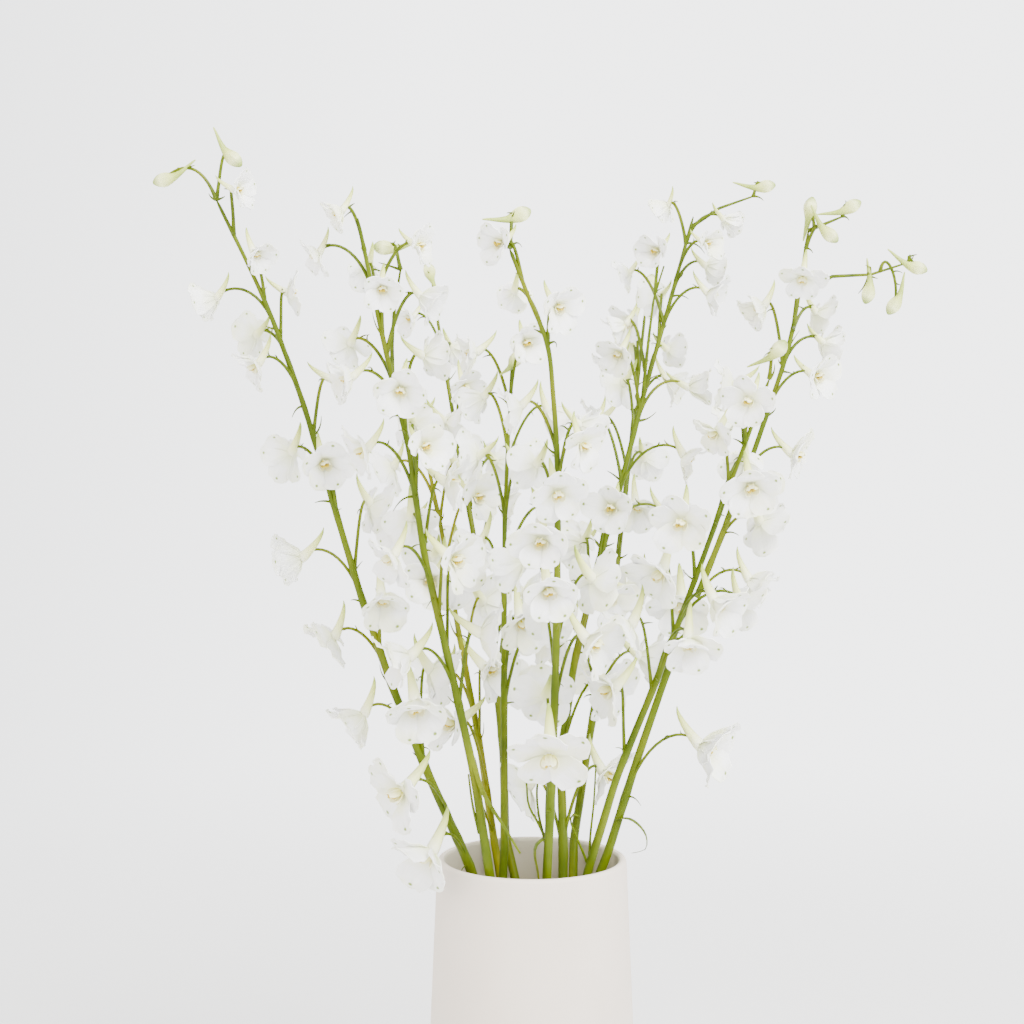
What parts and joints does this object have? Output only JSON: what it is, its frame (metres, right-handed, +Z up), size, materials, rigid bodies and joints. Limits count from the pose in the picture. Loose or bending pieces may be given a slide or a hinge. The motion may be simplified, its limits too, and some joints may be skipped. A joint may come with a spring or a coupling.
{
  "type": "delphinium in vase",
  "caption": "White delphinium stems with spurred florets and tip buds, cut and standing in water in a plain, slightly tapered ceramic vase.",
  "frame": {"origin": "centre of the vase's flat base", "axes": "+X to the right of the picture, +Y away from the viewer, +Z up"},
  "size_m": [0.3768, 0.2843, 0.5787],
  "materials": {
    "ceramic": "matte",
    "water": "clear",
    "petal": "matte",
    "stem": "satin",
    "bud": "satin",
    "stamen": "matte"
  },
  "bodies": {
    "root": {"vase": "ceramic", "water": "water", "stem_far_left": "petal", "stem_left_front": "petal", "stem_left_back": "petal", "stem_centre": "petal", "stem_centre_front": "petal", "stem_right_back": "petal", "stem_right_front": "petal", "stem_far_right": "petal", "stem_back_left": "petal", "stem_back_right": "petal"}
  },
  "joints": []
}
